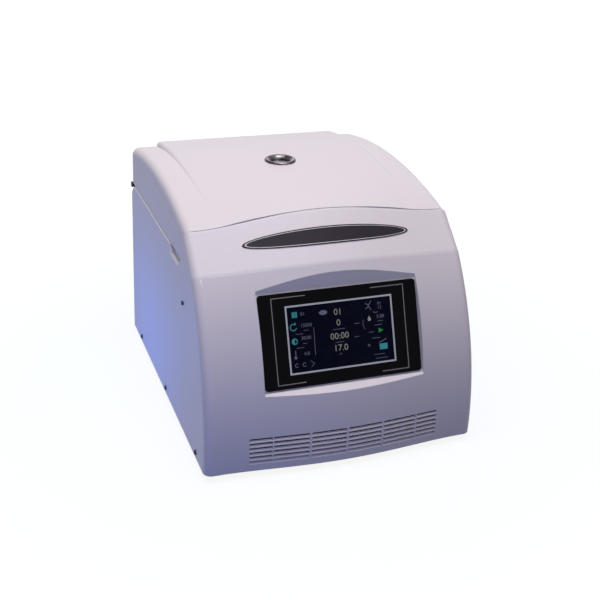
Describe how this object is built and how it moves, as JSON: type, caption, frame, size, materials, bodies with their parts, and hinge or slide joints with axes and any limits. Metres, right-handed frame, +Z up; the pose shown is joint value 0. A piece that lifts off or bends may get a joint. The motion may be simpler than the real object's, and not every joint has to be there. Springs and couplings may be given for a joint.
{
  "type": "refrigerated microcentrifuge",
  "caption": "Bench-top refrigerated microcentrifuge with a hinged lid, sight glass, tilted touch display, front air grille and a cooled rotor chamber.",
  "frame": {"origin": "centre of the bounding box on the surface that the feet stand on", "axes": "+Z up, the front with the display faces -Y, +X to the right seen from the front"},
  "size_m": [0.4046, 0.5127, 0.3492],
  "materials": {
    "off_white_plastic": "fine-textured moulding, satin",
    "light_grey_plastic": "moulded, satin",
    "painted_steel": "powder coat",
    "zinc_steel": "bright zinc plate",
    "steel": "ground and polished",
    "black_steel": "black oxide",
    "stainless": "spun stainless sheet",
    "chrome": "polished",
    "clear": "clear",
    "nameplate_black": "dark gloss with a silver line",
    "bezel_black": "printed gloss film",
    "screen_glass": "dark gloss glass over a lit panel",
    "module_metal": "pressed frame",
    "board": "green solder mask",
    "rubber": "moulded",
    "grey_rubber": "moulded",
    "foam": "cut rigid foam",
    "tube_plastic": "moulded",
    "copper": "drawn copper tube",
    "aluminium": "machined, anodised",
    "condenser_black": "dip-coated black",
    "black_plastic": "moulded",
    "motor_paint": "dark enamel",
    "laminations": "stacked laminations",
    "coil_housing": "plated can",
    "inlet_brass": "nickel brass"
  },
  "bodies": {
    "base": {"housing": "off_white_plastic", "top_deck": "light_grey_plastic", "rear_panel": "painted_steel", "base_pan": "painted_steel", "feet": "rubber", "frame_posts": "zinc_steel", "side_screws": "black_steel", "rear_screws": "black_steel", "hinge_brackets": "black_steel", "hinge_pins": "black_steel", "nameplate": "nameplate_black", "display_bezel": "bezel_black", "touch_glass": "screen_glass", "lcd_module": "module_metal", "display_board": "board", "chamber_seal": "grey_rubber", "bowl": "stainless", "insulation": "foam", "evaporator_coil": "copper", "temperature_probe": "steel", "lock_bracket": "zinc_steel", "lock_solenoid": "coil_housing", "rubber_mounts": "rubber", "motor_plate": "aluminium", "motor_housing": "motor_paint", "motor_cap": "motor_paint", "motor_stator": "laminations", "motor_bearings": "steel", "shaft_boot": "rubber", "condenser_coil": "condenser_black", "condenser_fins": "condenser_black", "fan_frame": "black_plastic", "compressor": "motor_paint", "filter_drier": "copper", "copper_lines": "copper", "heat_sink": "aluminium", "drive_board": "board", "power_supply": "coil_housing", "power_inlet": "black_plastic", "inlet_pins": "inlet_brass", "power_switch": "black_plastic"},
    "lid": {"lid_shell": "off_white_plastic", "lid_liner": "light_grey_plastic", "lid_foam": "foam", "sight_ring": "chrome", "sight_glass": "clear", "sight_tube": "tube_plastic", "lower_sight_glass": "clear", "lid_striker": "zinc_steel", "hinge_leaves": "black_steel", "hinge_leaf_screws": "black_steel"},
    "spindle": {"motor_shaft": "steel", "motor_magnets": "laminations", "rotor": "aluminium"},
    "knob": {"rotor_knob": "black_plastic"},
    "fan": {"fan_blades": "black_plastic"},
    "bolt": {"lock_bolt": "steel"},
    "release": {"release_pull": "black_steel"},
    "fuse_drawer": {"fuse_drawer": "black_plastic"},
    "rocker": {"power_rocker": "black_plastic"}
  },
  "joints": [
    {"name": "lid_hinge", "type": "hinge", "parent": "base", "child": "lid", "pos_m": [0, 0.251, 0.263], "axis": [-1, 0, 0], "range_deg": [0, 80]},
    {"name": "rotor_spin", "type": "hinge", "parent": "base", "child": "spindle", "pos_m": [0, 0.065, 0.2], "axis": [0, 0, 1], "continuous": true},
    {"name": "rotor_knob_turn", "type": "hinge", "parent": "spindle", "child": "knob", "pos_m": [0, 0.065, 0.226], "axis": [0, 0, 1], "continuous": true},
    {"name": "condenser_fan_spin", "type": "hinge", "parent": "base", "child": "fan", "pos_m": [0, -0.1635, 0.074], "axis": [0, -1, 0], "continuous": true},
    {"name": "lock_bolt_slide", "type": "slide", "parent": "base", "child": "bolt", "axis": [0, 1, 0], "range_m": [0, 0.012]},
    {"name": "release_pull_slide", "type": "slide", "parent": "base", "child": "release", "axis": [-1, 0, 0], "range_m": [0, 0.012]},
    {"name": "fuse_drawer_slide", "type": "slide", "parent": "base", "child": "fuse_drawer", "axis": [0, 1, 0], "range_m": [0, 0.016]},
    {"name": "power_rocker_tilt", "type": "hinge", "parent": "base", "child": "rocker", "pos_m": [0.13, 0.2424, 0.118], "axis": [-1, 0, 0], "range_deg": [0, 16]}
  ]
}
